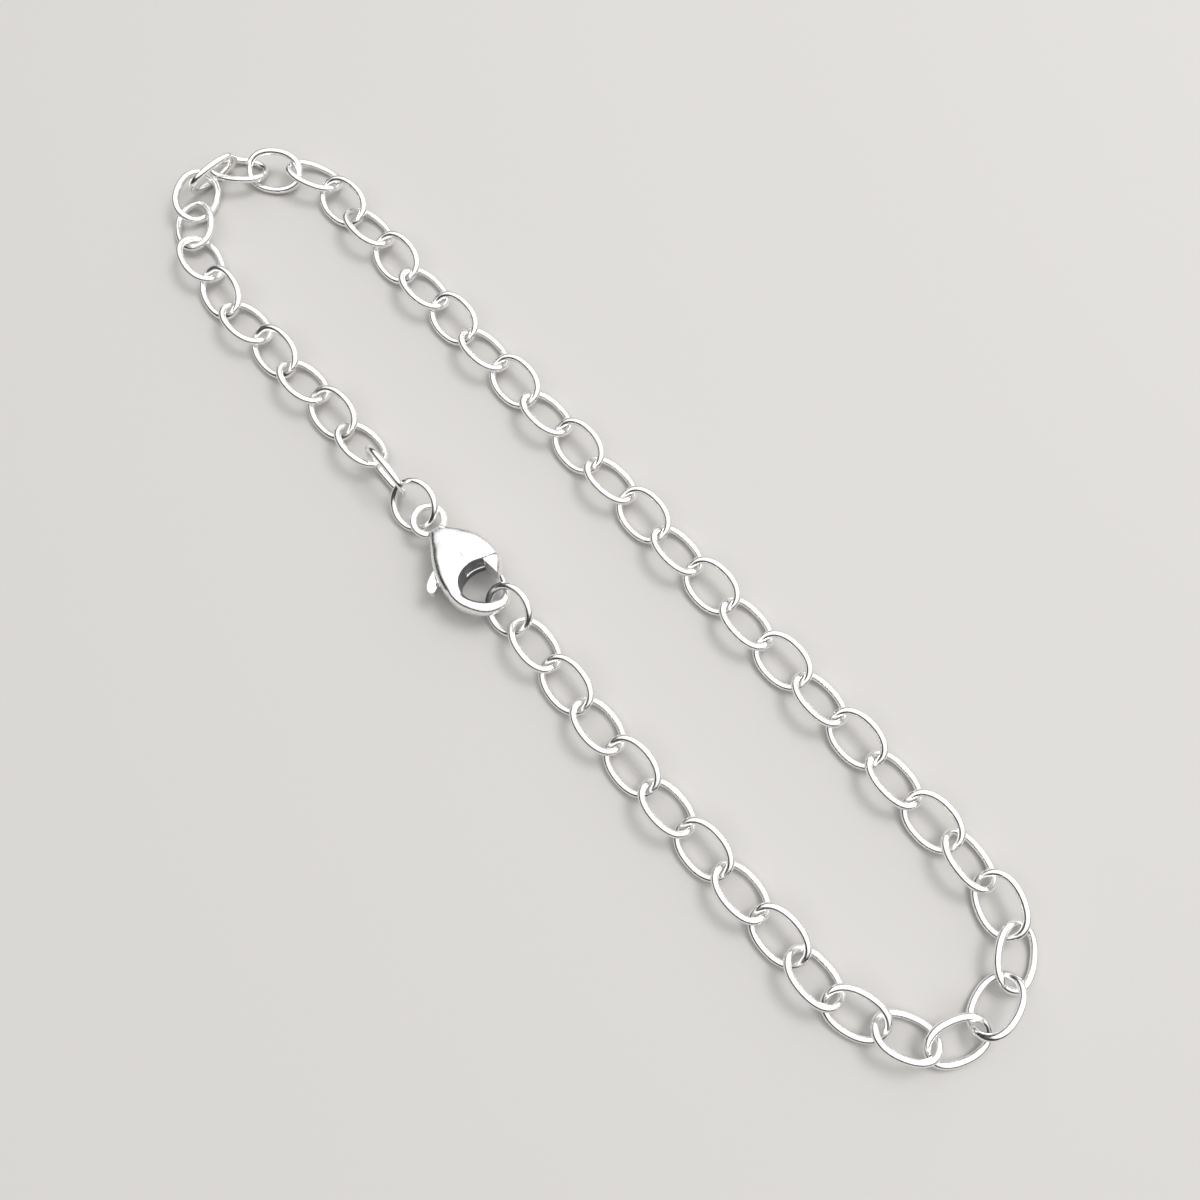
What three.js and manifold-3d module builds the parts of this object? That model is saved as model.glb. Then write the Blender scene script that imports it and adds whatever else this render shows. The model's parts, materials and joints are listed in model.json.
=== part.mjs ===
// A silver bracelet chain of oval links, closed by a lobster clasp, lying as one loop on a flat surface.
// Millimetres, +Z up. The surface is z = 0, and the middle of the loop's box is x = y = 0.

import * as THREE from "three";
import { mergeVertices } from "three/addons/utils/BufferGeometryUtils.js";
import Module from "manifold-3d";

const wasm = await Module();
wasm.setup();

// ---------------------------------------------------------------------------------------------
// Driving dimensions
// ---------------------------------------------------------------------------------------------

const LINK = { length: 4.95, width: 3.65, wire: 0.56, squareness: 2.2, segments: 16, sides: 6 };
const RING = { radius: 1.85, segments: 24, sides: 8 };

// The line that the link centres follow round the loop, from the clasp's bail to its hook.
const ROUTE = [
  [-12.75, -4.95], [-18, -4.7], [-26, -4.5], [-33, -4.4], [-37.6, -3.6], [-41, -1.9], [-43.5, 0.2],
  [-44, 2.6], [-42.3, 4.9], [-39.4, 7.2], [-35.8, 8.4], [-31, 8.4], [-23, 7.9], [-12, 7.5], [0, 7],
  [12, 6.4], [24, 5.85], [32, 5.3], [37.5, 4.9], [41.4, 3.7], [43.7, 1.2], [44.2, -2], [43.4, -4.8],
  [40.6, -7], [36.4, -8.2], [30, -7.9], [22, -7.5], [13, -6.9], [4.9, -6],
];

// How far apart neighbouring link centres lie: taut on the straights, bunched in the left bend.
const STRETCHES = [
  { links: 1, pitch: 3.4 },
  { links: 7, pitch: 3.66 },
  { links: 3, pitch: 2.45 },
  { links: 4, pitch: 3.35 },
  { links: 17, pitch: 3.77 },
  { links: 9, pitch: 3.45 },
  { links: 7, pitch: 3.75 },
];

// Neighbouring links lean to opposite sides. The link that stands on edge in the bend swaps the order.
const LEAN = 30;
const LEAN_VARIATION = 1.5;
const HEADING_VARIATION = 1.2;
const FIRST_LINK_AFTER_SWAP = 12;

// Links whose pose is their own: degrees about the long axis (lean), nose up, heading, and centre.
const SPECIAL_LINKS = {
  1: { x: -12.77, y: -5, heading: 176.2, lean: -86.5, nose: -0.6 },
  2: { x: -16.17, y: -4.77, heading: 176.9, lean: 31.5, nose: -2.7 },
  8: { x: -38.15, y: -3.45, heading: 163.7, lean: 27.6, nose: -1.2 },
  9: { x: -41.33, y: -1.78, heading: 148.3, lean: -14.8, nose: -3.8 },
  10: { x: -43.23, y: 0.07, heading: 119.3, lean: 29.5, nose: 0.1 },
  11: { x: -43.56, y: 2.31, heading: 89.9, lean: 113.3, nose: 0.5 },
  12: { x: -42.98, y: 4.23, heading: 48.7, lean: -21.6, nose: -10.1 },
  13: { x: -40.67, y: 6.32, heading: 37.8, lean: 31.3, nose: 3 },
  14: { x: -37.96, y: 8.43, heading: 21.5, lean: -28.5, nose: -6.3 },
  15: { x: -34.3, y: 8.53, heading: 1.7, lean: 30.1, nose: 0.5 },
  35: { x: 40.21, y: 4.28, heading: -26.5, lean: 33, nose: -0.6 },
  36: { x: 43.15, y: 2.5, heading: -57.5, lean: -23, nose: -0.7 },
  37: { x: 44.05, y: -0.94, heading: -79.2, lean: 47.2, nose: 2.3 },
  38: { x: 43.83, y: -4.35, heading: -114.2, lean: -25.8, nose: 0.2 },
  39: { x: 41.32, y: -6.61, heading: -152.3, lean: 30.7, nose: 1.8 },
};

// The clasp's own frame: origin in the bail's hole, +X towards the nose, +Y towards the mouth.
const CLASP = { x: -7.65, y: -5.24, heading: -9.3, middle: 1.45 };
const BAIL = { radius: 1.17, wire: 0.6, segments: 28, sides: 8 };

// Sections of the pear-shaped body, from the bail to the nose: its two edges and its half height.
const BODY_SECTIONS = [
  { x: 0.95, spine: -0.5, mouth: 0.58, half: 0.42 },
  { x: 1.5, spine: -0.8, mouth: 1.08, half: 0.7 },
  { x: 2.2, spine: -1.18, mouth: 1.78, half: 0.99 },
  { x: 3.2, spine: -1.66, mouth: 2.46, half: 1.33 },
  { x: 4.3, spine: -2.02, mouth: 2.84, half: 1.5 },
  { x: 5.2, spine: -2.14, mouth: 2.92, half: 1.48 },
  { x: 6.0, spine: -2.12, mouth: 2.7, half: 1.3 },
  { x: 6.8, spine: -1.96, mouth: 2.12, half: 0.9 },
];
const BODY_SQUARENESS = 3.4;

// Sections of the hook, from inside the body round the nose to the mouth.
const HOOK_SECTIONS = [
  { x: 4.8, y: -1.1, z: 1.45, width: 1.0, half: 1.1 },
  { x: 5.9, y: -1.54, z: 1.45, width: 1.12, half: 1.22 },
  { x: 6.9, y: -1.48, z: 1.47, width: 1.02, half: 1.14 },
  { x: 7.7, y: -1.0, z: 1.56, width: 0.96, half: 0.88 },
  { x: 8.35, y: -0.3, z: 1.67, width: 0.98, half: 0.62 },
  { x: 8.66, y: 0.45, z: 1.66, width: 0.9, half: 0.57 },
  { x: 8.72, y: 1.1, z: 1.63, width: 0.76, half: 0.58 },
  { x: 8.3, y: 1.62, z: 1.58, width: 0.56, half: 0.6 },
  { x: 7.6, y: 1.92, z: 1.52, width: 0.42, half: 0.62 },
  { x: 6.84, y: 2.08, z: 1.47, width: 0.32, half: 0.62 },
];
const HOOK_SQUARENESS = 2.6;

// The eye, which the gate closes: the cut that shapes the body's end towards the hook.
const EYE = [
  [5.3, 1.52], [5.12, 0.75], [5.2, 0.05], [5.5, -0.6], [6.05, -1.0], [6.7, -1.1],
  [7.3, -0.85], [7.75, -0.35], [7.95, 0.35], [8.0, 1.1], [7.1, 1.8], [6.95, 3.4], [5.55, 3.4],
];

// The rivet that the lever turns on, and the slot between the body's cheeks that holds the lever.
const RIVET = { x: 4.26, y: 0.88, radius: 0.44, low: 0.08, high: 2.9, hole: 0.5, leverHole: 0.56 };
const SLOT = { low: 0.85, high: 2.05, hub: 1.0 };
const SLOT_GATE = [[3.5, 1.3], [4.4, 3.2], [6.4, 3.2], [6.4, 0.7], [4.2, -0.1]];
const SLOT_THUMB = [[3.1, 0.7], [2.45, -0.8], [2.2, -3.2], [5.4, -3.2], [5.1, -1.8], [5.24, 0.6]];

// The lever: a thin plate in the slot. Clear of the slot, its gate is as thick as the body that it
// continues, and its thumb tab is a short drop along the spine.
const LEVER_PLATE = { low: 0.97, high: 1.93, hub: 0.8 };
const LEVER_GATE_ROOT = [
  [3.9, 1.5], [4.6, 2.3], [5.3, 2.62], [5.9, 2.58], [5.9, 1.8], [5.3, 1.6], [4.95, 1.3], [4.6, 0.3],
];
const LEVER_THUMB_ROOT = [
  [3.55, 0.7], [3.5, -1.2], [3.72, -1.85], [4.3, -2.5], [4.8, -2.5], [4.75, -1.0], [4.9, 0.6],
];
const GATE = [[5.42, 1.54], [5.62, 3.1], [6.3, 2.9], [6.58, 2.2], [6.7, 1.93]];
const GATE_HEIGHT = { low: 0.12, high: 3 };
const THUMB_TAB = [
  [3.66, -1.66], [3.84, -2.08], [4.1, -2.5], [4.4, -2.84], [4.7, -3.04], [4.98, -3.06],
  [5.18, -2.92], [5.22, -2.68], [5.04, -2.4], [4.6, -2.16],
];
const THUMB_HEIGHT = { low: 0.93, high: 1.97, bevel: 0.1 };

// The two jump rings, in the clasp's frame: centre, wire, tilt, and the side that the tilt lifts.
const JUMP_RINGS = [
  { name: "tail_jump_ring", x: -1.7, y: -0.26, wire: 0.54, tilt: 40, highSide: 106 },
  { name: "end_jump_ring", x: 9.36, y: 1.07, wire: 0.58, tilt: 47, highSide: 99 },
];

const SILVER = { color: 0xe4e4e2, roughness: 0.16, metalness: 1 };
const WORN_SILVER = { color: 0xb9b8b4, roughness: 0.28, metalness: 1 };

// ---------------------------------------------------------------------------------------------
// Geometry helpers
// ---------------------------------------------------------------------------------------------

const radians = THREE.MathUtils.degToRad;

// Distance from the middle to a rounded-square curve of half width 1, in the direction of (c, s).
function superellipse(c, s, power) {
  return (Math.abs(c) ** power + Math.abs(s) ** power) ** (-1 / power);
}

function closed(geometry) {
  geometry.deleteAttribute("normal");
  geometry.deleteAttribute("uv");
  const merged = mergeVertices(geometry, 1e-4);
  merged.computeVertexNormals();
  return merged;
}

// A round wire bent into a closed oval in the XY plane: a torus drawn out to the oval's centreline.
function ovalWire({ length, width, wire, squareness, segments, sides }) {
  const geometry = new THREE.TorusGeometry(1, wire / 2, sides, segments);
  const half = new THREE.Vector2((length - wire) / 2, (width - wire) / 2);
  const centre = (angle) => {
    const reach = superellipse(Math.cos(angle), Math.sin(angle), squareness);
    return new THREE.Vector2(Math.cos(angle), Math.sin(angle)).multiplyScalar(reach).multiply(half);
  };
  const points = geometry.attributes.position;
  const step = 0.01;
  for (let i = 0; i < points.count; i += 1) {
    const angle = Math.atan2(points.getY(i), points.getX(i));
    const outward = Math.hypot(points.getX(i), points.getY(i)) - 1;
    const along = centre(angle + step).sub(centre(angle - step)).normalize();
    const at = centre(angle);
    points.setXY(i, at.x + along.y * outward, at.y - along.x * outward);
  }
  return closed(geometry);
}

// A closed bar through a row of sections, each { at, across, width, half }: a cylinder reshaped.
function bar(sections, sides, squareness) {
  const last = sections.length - 1;
  const geometry = new THREE.CylinderGeometry(1, 1, last, sides, last);
  const points = geometry.attributes.position;
  for (let i = 0; i < points.count; i += 1) {
    const { at, across, width, half } = sections[Math.round(points.getY(i) + last / 2)];
    const side = -points.getX(i);
    const up = points.getZ(i);
    const onWall = Math.hypot(side, up) > 0.5;
    const reach = onWall ? superellipse(side, up, squareness) : 0;
    const offset = (side * reach * width) / 2;
    points.setXYZ(i, at.x + across.x * offset, at.y + across.y * offset, at.z + up * reach * half);
  }
  return closed(geometry);
}

// A flat outline raised from one height to another, with its edges broken by a small bevel.
function plate(outline, low, high, bevel = 0) {
  const shape = new THREE.Shape(outline.map(([x, y]) => new THREE.Vector2(x, y)));
  const geometry = new THREE.ExtrudeGeometry(shape, {
    depth: high - low - 2 * bevel,
    bevelEnabled: bevel > 0,
    bevelThickness: bevel,
    bevelSize: bevel,
    bevelOffset: -bevel,
    bevelSegments: 1,
  });
  return closed(geometry.translate(0, 0, low + bevel));
}

function disc(radius, x, y, low, high, segments = 16) {
  const geometry = new THREE.CylinderGeometry(radius, radius, high - low, segments);
  return closed(geometry.rotateX(Math.PI / 2).translate(x, y, (low + high) / 2));
}

function solidOf(geometry) {
  const mesh = new wasm.Mesh({
    numProp: 3,
    vertProperties: new Float32Array(geometry.attributes.position.array),
    triVerts: new Uint32Array(geometry.index.array),
  });
  return new wasm.Manifold(mesh);
}

function geometryOf(solid) {
  const mesh = solid.getMesh();
  const geometry = new THREE.BufferGeometry();
  geometry.setAttribute("position", new THREE.BufferAttribute(mesh.vertProperties, 3));
  geometry.setIndex(new THREE.BufferAttribute(mesh.triVerts, 1));
  geometry.computeVertexNormals();
  return geometry;
}

function piece(name, geometry, finish = SILVER) {
  const mesh = new THREE.Mesh(geometry, new THREE.MeshStandardMaterial(finish));
  mesh.name = name;
  return mesh;
}

// ---------------------------------------------------------------------------------------------
// The chain
// ---------------------------------------------------------------------------------------------

const linkGeometry = ovalWire(LINK);
const fineLink = ovalWire({ ...LINK, segments: 96, sides: 24 });

function linkCentres() {
  const route = new THREE.CatmullRomCurve3(ROUTE.map(([x, y]) => new THREE.Vector3(x, y, 0)));
  route.arcLengthDivisions = 4000;
  const steps = STRETCHES.flatMap(({ links, pitch }) => Array(links).fill(pitch));
  const total = steps.reduce((sum, step) => sum + step, 0);
  let travelled = 0;
  const centres = [route.getPointAt(0)];
  for (const step of steps) {
    travelled += step;
    centres.push(route.getPointAt(Math.min(travelled / total, 1)));
  }
  return centres;
}

// A link's usual pose: along the chain, leaning left or right in turn, with a little hand-laid variety.
function usualPose(number, centres) {
  const before = centres[Math.max(number - 2, 0)];
  const after = centres[Math.min(number, centres.length - 1)];
  const leansLeft = (number % 2 === 0) !== (number >= FIRST_LINK_AFTER_SWAP);
  const lean = LEAN + LEAN_VARIATION * Math.sin(1.7 * number);
  return {
    x: centres[number - 1].x,
    y: centres[number - 1].y,
    heading: THREE.MathUtils.radToDeg(Math.atan2(after.y - before.y, after.x - before.x))
      + HEADING_VARIATION * Math.sin(2.4 * number),
    lean: leansLeft ? lean : -lean,
    nose: 0,
  };
}

// How far below its centre a turned link's round wire reaches: it is set on the surface by that.
function depthBelow(rotation) {
  const points = fineLink.attributes.position;
  const point = new THREE.Vector3();
  let lowest = 0;
  for (let i = 0; i < points.count; i += 1) {
    point.fromBufferAttribute(points, i).applyEuler(rotation);
    lowest = Math.min(lowest, point.z);
  }
  return -lowest;
}

function chain() {
  const group = new THREE.Group();
  const centres = linkCentres();
  for (let number = 1; number <= centres.length; number += 1) {
    const pose = { ...usualPose(number, centres), ...SPECIAL_LINKS[number] };
    const link = piece(`link_${String(number).padStart(2, "0")}`, linkGeometry);
    link.rotation.set(radians(pose.lean), radians(-pose.nose), radians(pose.heading), "ZYX");
    link.position.set(pose.x, pose.y, depthBelow(link.rotation));
    group.add(link);
  }
  return group;
}

// ---------------------------------------------------------------------------------------------
// The clasp and its jump rings
// ---------------------------------------------------------------------------------------------

function bail() {
  const geometry = new THREE.TorusGeometry(BAIL.radius, BAIL.wire / 2, BAIL.sides, BAIL.segments);
  return closed(geometry.translate(0, 0, CLASP.middle));
}

function pear() {
  const sections = BODY_SECTIONS.map(({ x, spine, mouth, half }) => ({
    at: new THREE.Vector3(x, (spine + mouth) / 2, CLASP.middle),
    across: new THREE.Vector3(0, 1, 0),
    width: mouth - spine,
    half,
  }));
  return bar(sections, 16, BODY_SQUARENESS);
}

function hook() {
  const path = new THREE.CatmullRomCurve3(HOOK_SECTIONS.map(({ x, y, z }) => new THREE.Vector3(x, y, z)));
  const sections = HOOK_SECTIONS.map(({ width, half }, i) => {
    const t = i / (HOOK_SECTIONS.length - 1);
    const along = path.getTangent(t);
    const across = new THREE.Vector3(-along.y, along.x, 0).normalize();
    return { at: path.getPoint(t), across, width, half };
  });
  return bar(sections, 12, HOOK_SQUARENESS);
}

function clearOfLever() {
  const { low, high, hub } = SLOT;
  return solidOf(plate(SLOT_GATE, low, high))
    .add(solidOf(plate(SLOT_THUMB, low, high)))
    .add(solidOf(disc(hub, RIVET.x, RIVET.y, low, high, 24)));
}

// Bail, body and hook are one casting, slotted for the lever and flat underneath.
function claspBody() {
  const surface = solidOf(closed(new THREE.BoxGeometry(30, 30, 10).translate(5, 0, -5)));
  const rivetHole = disc(RIVET.hole, RIVET.x, RIVET.y, -1, 4);
  const casting = solidOf(pear())
    .subtract(solidOf(plate(EYE, -1, 4)))
    .add(solidOf(hook()))
    .add(solidOf(bail()));
  return geometryOf(casting.subtract(clearOfLever()).subtract(solidOf(rivetHole)).subtract(surface));
}

// The gate that closes the mouth and the tab that the thumb pulls back are one piece.
function claspLever() {
  const { low, high, hub } = LEVER_PLATE;
  const thumb = THUMB_HEIGHT;
  const gate = solidOf(plate(GATE, GATE_HEIGHT.low, GATE_HEIGHT.high)).intersect(solidOf(pear()));
  return geometryOf(
    solidOf(disc(hub, RIVET.x, RIVET.y, low, high, 24))
      .add(solidOf(plate(LEVER_GATE_ROOT, low, high)))
      .add(solidOf(plate(LEVER_THUMB_ROOT, low, high)))
      .add(gate)
      .add(solidOf(plate(THUMB_TAB, thumb.low, thumb.high, thumb.bevel)))
      .subtract(solidOf(disc(RIVET.leverHole, RIVET.x, RIVET.y, 0, 3))),
  );
}

function claspRivet() {
  return disc(RIVET.radius, RIVET.x, RIVET.y, RIVET.low, RIVET.high);
}

function jumpRing({ name, x, y, wire, tilt, highSide }) {
  const geometry = closed(new THREE.TorusGeometry(RING.radius, wire / 2, RING.sides, RING.segments));
  const ring = piece(name, geometry);
  ring.rotation.set(radians(tilt), 0, radians(highSide - 90), "ZYX");
  ring.position.set(x, y, wire / 2 + RING.radius * Math.sin(radians(tilt)));
  return ring;
}

function clasp() {
  const group = new THREE.Group();
  group.add(piece("clasp_body", claspBody()));
  group.add(piece("clasp_lever", claspLever()));
  group.add(piece("clasp_rivet", claspRivet(), WORN_SILVER));
  group.add(...JUMP_RINGS.map(jumpRing));
  group.position.set(CLASP.x, CLASP.y, 0);
  group.rotation.z = radians(CLASP.heading);
  return group;
}

const bracelet = new THREE.Group();
bracelet.add(chain(), clasp());
const middle = new THREE.Box3().setFromObject(bracelet, true).getCenter(new THREE.Vector3());
bracelet.position.set(-middle.x, -middle.y, 0);

export default bracelet;
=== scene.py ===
import json
import math

import bpy
import numpy as np
from bpy.props import FloatProperty, FloatVectorProperty, IntProperty, PointerProperty
from mathutils import Matrix, Vector


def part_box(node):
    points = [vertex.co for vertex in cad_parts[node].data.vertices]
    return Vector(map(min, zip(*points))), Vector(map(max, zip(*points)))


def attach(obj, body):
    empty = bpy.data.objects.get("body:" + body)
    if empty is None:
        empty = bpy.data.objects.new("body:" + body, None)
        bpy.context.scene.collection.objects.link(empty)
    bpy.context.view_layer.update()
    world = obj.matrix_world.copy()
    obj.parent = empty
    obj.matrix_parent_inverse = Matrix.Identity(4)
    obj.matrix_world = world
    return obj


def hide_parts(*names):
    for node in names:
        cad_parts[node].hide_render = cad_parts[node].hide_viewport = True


bl_info = {
    "name": "Silver Chain Bracelet",
    "version": (1, 0, 0),
    "blender": (4, 5, 0),
    "location": "3D View > Sidebar > Bracelet",
    "description": "Oval-link silver chain with jump rings and a lobster clasp, laid down as one loop",
    "category": "Add Mesh",
}

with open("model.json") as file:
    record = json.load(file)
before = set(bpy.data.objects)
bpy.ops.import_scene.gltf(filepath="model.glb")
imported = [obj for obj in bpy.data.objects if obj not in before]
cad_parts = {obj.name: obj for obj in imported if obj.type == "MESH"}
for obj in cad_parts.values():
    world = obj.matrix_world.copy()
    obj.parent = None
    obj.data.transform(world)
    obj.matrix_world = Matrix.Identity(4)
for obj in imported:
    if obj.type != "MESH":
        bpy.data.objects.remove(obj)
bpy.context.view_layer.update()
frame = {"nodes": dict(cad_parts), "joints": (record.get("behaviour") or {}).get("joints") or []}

MM = 0.001
LINK_NODES = sorted(name for name in frame["nodes"] if name.startswith("link_"))
HINGE = frame["joints"][0]

# Which side of a link its solder joint lies on is drawn at random, from this seed.
JOINT_SEED = 4

# The clasp's own frame is in millimetres: origin in the bail's hole, +X towards the nose of the hook,
# +Y towards the mouth, and height 0 on the surface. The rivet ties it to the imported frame. MIDDLE is the
# height of its middle plane, a cut goes right through it between two heights, and a block of ground
# flattens its underside.
RIVET_AT = (4.26, 0.88)
MIDDLE = 1.45
RIGHT_THROUGH = (-1.0, 4.0)
GROUND_BLOCK = 20.0

# Sections of the pear-shaped body: where, its spine edge, its mouth edge, its half height.
BODY_SECTIONS = (
    (0.95, -0.5, 0.58, 0.5),
    (1.5, -0.8, 1.08, 0.76),
    (2.2, -1.18, 1.78, 1.01),
    (3.2, -1.66, 2.46, 1.33),
    (4.3, -2.02, 2.84, 1.5),
    (5.2, -2.14, 2.92, 1.48),
    (6.0, -2.12, 2.7, 1.3),
    (6.8, -1.96, 2.12, 0.9),
)
BODY_SQUARENESS = 4.0

# Sections of the hook, from inside the body round the nose to the mouth: x, y, z, width, half height.
HOOK_SECTIONS = (
    (4.8, -1.1, 1.45, 1.0, 1.1),
    (5.9, -1.54, 1.45, 1.12, 1.22),
    (6.9, -1.48, 1.47, 1.02, 1.14),
    (7.7, -1.0, 1.56, 0.96, 0.88),
    (8.35, -0.3, 1.67, 0.98, 0.62),
    (8.66, 0.45, 1.66, 0.9, 0.57),
    (8.72, 1.1, 1.63, 0.76, 0.58),
    (8.3, 1.62, 1.58, 0.56, 0.6),
    (7.6, 1.92, 1.52, 0.42, 0.62),
    (6.84, 2.08, 1.47, 0.32, 0.62),
)
HOOK_SQUARENESS = 2.6

# The eye: a curved wall round from its sharp corner to the mouth, and the straight cut of the mouth. Its
# walls get painted shade, a darker colour with added roughness, as far as EYE_REACH from EYE_MIDDLE.
EYE_WALL = (
    (5.3, 1.52), (5.12, 0.75), (5.2, 0.05), (5.5, -0.6), (6.05, -1.0), (6.7, -1.1),
    (7.3, -0.85), (7.75, -0.35), (7.95, 0.35), (8.0, 1.1),
)
EYE_MOUTH = ((7.1, 1.8), (6.95, 3.4), (5.55, 3.4))
EYE_MIDDLE = (6.5, 0.3)
EYE_REACH = 1.95

# The slot between the cheeks, where the lever swings.
SLOT_GATE = ((3.5, 1.3), (4.4, 3.2), (6.4, 3.2), (6.4, 0.7), (4.2, -0.1))
SLOT_THUMB = ((3.1, 0.7), (2.45, -0.8), (2.2, -3.2), (5.4, -3.2), (5.1, -1.8), (5.24, 0.6))

# The lever: a thin plate in the slot, a little way from its floor and roof. Clear of the slot, its gate
# is as thick as the body that it continues, and its thumb tab is a short drop along the spine. Its facets
# are finer than the body's.
PLATE_GAP = 0.12
THUMB_GAP = 0.07
LEVER_FINENESS = 0.8
GATE_ROOT = (
    (3.9, 1.5), (4.22, 2.2), (4.6, 2.62), (5.3, 2.78), (5.9, 2.6), (5.9, 1.8), (5.3, 1.6), (4.95, 1.3),
    (4.6, 0.3),
)
THUMB_ROOT = (
    (3.55, 0.7), (3.5, -1.2), (3.72, -1.85), (4.3, -2.5), (4.8, -2.5), (4.75, -1.0), (4.9, 0.6),
)
GATE = ((5.34, 1.51), (5.57, 3.1), (6.3, 2.9), (6.6, 2.2), (6.72, 1.9))
GATE_HEIGHT = (0.12, 3.0)
THUMB_TAB = (
    (3.66, -1.66), (3.84, -2.08), (4.1, -2.5), (4.4, -2.84), (4.7, -3.04), (4.98, -3.06),
    (5.18, -2.92), (5.22, -2.68), (5.04, -2.4), (4.6, -2.16), (4.1, -1.93),
)

# Steps between neighbouring rows, where a smooth curve joins them.
SECTION_STEPS = 8
WALL_STEPS = 6
TAB_STEPS = 4

# Radii round the rivet: the slot's round end, the lever's hub, the holes through the body and the lever,
# and how far the lever gets painted shade, a darker colour with added roughness.
SLOT_HUB = 1.0
LEVER_HUB = 0.8
BODY_HOLE = 0.47
LEVER_HOLE = 0.56
LEVER_REACH = 1.35

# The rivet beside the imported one, whose sides and ends are flat: how much wider it is, how far its head
# stands up, and the height of the dome on its head and its foot.
PIN_WIDER = 0.012
PIN_PROUD = 0.1
HEAD_DOME = 0.03
FOOT_DOME = 0.05
DOME_STEPS = 7

# Where the painted shade ends, a darker colour with added roughness: over what distance it fades, and from
# what steepness on and over what range a wall gets it (0 is level, 1 is upright).
PAINTED_SHADE_FADE = 0.15
STEEP_FROM = 0.3
STEEP_RANGE = 0.4

# Turn and squeeze of each run of scratches, and how slowly draw marks change along a wire.
SCRATCH_RUNS = (((0.3, 0.2, 0.5), 0.05), ((-0.4, 0.5, 2.1), 0.07), ((0.6, -0.3, 3.6), 0.04))
DRAW_DRIFT = (0.12, 0.12, 0.12)

# What is added to the silver's roughness where it is toned, scratched or under the painted shade, and how
# toned the solder joints are.
TONED_ROUGHNESS = 0.16
SCRATCHED_ROUGHNESS = 0.12
RECESS_ROUGHNESS = 0.22
JOINT_TONING = 0.35

# The stage, in metres. The light tent's dome leans a little from straight up, and fades out between two
# heights along that lean.
FLOOR_HALF = 2.0
FLOOR_DROP = 0.00002
KEY_PLACE = (0.06, 0.3, 0.5)
KEY_SIZE = (0.3, 0.22)
TENT_LEAN = (0.0, 0.32, 1.0)
TENT_FADE = (0.36, 0.47)
TENT_COLOUR = (0.985, 0.99, 1.0, 1.0)
SENSOR_MM = 36.0
CAMERA_NEAREST = 0.001


# --------------------------------------------------------------------------------------------
# Settings
# --------------------------------------------------------------------------------------------


class BraceletWire(bpy.types.PropertyGroup):
    gauge: FloatProperty(
        name="Link wire", description="Thickness of the wire that the links are bent from",
        default=0.56 * MM, min=0.2 * MM, precision=5, subtype="DISTANCE", unit="LENGTH",
    )
    squareness: FloatProperty(
        name="Oval squareness", description="2 is a true ellipse; more makes the long sides straighter",
        default=2.2, min=2.0, max=4.0,
    )
    around: IntProperty(
        name="Steps round a link", description="Segments along the wire", default=72, min=24, max=160,
    )
    sides: IntProperty(
        name="Link wire sides", description="Segments round the wire's section",
        default=18, min=8, max=48,
    )
    tail_gauge: FloatProperty(
        name="Tail ring wire", description="Thickness of the jump ring on the clasp's bail",
        default=0.54 * MM, min=0.2 * MM, precision=5, subtype="DISTANCE", unit="LENGTH",
    )
    end_gauge: FloatProperty(
        name="End ring wire", description="Thickness of the jump ring that the hook holds",
        default=0.58 * MM, min=0.2 * MM, precision=5, subtype="DISTANCE", unit="LENGTH",
    )
    ring_around: IntProperty(
        name="Steps round a ring", description="Segments along a jump ring", default=96, min=24, max=200,
    )
    ring_sides: IntProperty(
        name="Ring wire sides", description="Segments round a jump ring's section",
        default=24, min=8, max=48,
    )


class ClaspShape(bpy.types.PropertyGroup):
    heading: FloatProperty(
        name="Heading", description="Direction of the clasp's nose on the surface",
        default=math.radians(-9.3), subtype="ANGLE", unit="ROTATION",
    )
    bail_radius: FloatProperty(
        name="Bail radius", description="Radius of the bail's centre line, in millimetres", default=1.17,
    )
    bail_wire: FloatProperty(
        name="Bail wire", description="Thickness of the bail, in millimetres", default=0.6,
    )
    slot_low: FloatProperty(
        name="Slot floor", description="Height of the lever slot's lower cheek, in millimetres",
        default=0.85,
    )
    slot_high: FloatProperty(
        name="Slot roof", description="Height of the lever slot's upper cheek, in millimetres",
        default=2.05,
    )
    grain: FloatProperty(
        name="Surface step", description="Size of a surface facet, in millimetres",
        default=0.045, min=0.03, max=0.2,
    )
    softening: IntProperty(
        name="Edge softening", description="Passes that round the cast edges", default=5, min=0, max=40,
    )
    blending: IntProperty(
        name="Blending", description="Passes that blend bail and hook into the body",
        default=16, min=0, max=60,
    )


class SilverFinish(bpy.types.PropertyGroup):
    bright: FloatVectorProperty(
        name="Bright silver", description="Colour of the freshly polished metal",
        default=(0.955, 0.95, 0.94), size=3, min=0, max=1, subtype="COLOR",
    )
    toned: FloatVectorProperty(
        name="Toned silver", description="Colour of the metal where a faint tarnish has begun",
        default=(0.78, 0.76, 0.72), size=3, min=0, max=1, subtype="COLOR",
    )
    # Painted shade: this colour darkens the steep walls of the clasp's eye and the lever round the rivet,
    # and stands for the shade in those recesses.
    dark: FloatVectorProperty(
        name="Dark silver", description="Colour of the oxidised metal where no polishing wheel reaches",
        default=(0.26, 0.265, 0.28), size=3, min=0, max=1, subtype="COLOR",
    )
    polish: FloatProperty(
        name="Roughness", description="Roughness of the polished metal between the scratches",
        default=0.13, min=0, max=1,
    )


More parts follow.
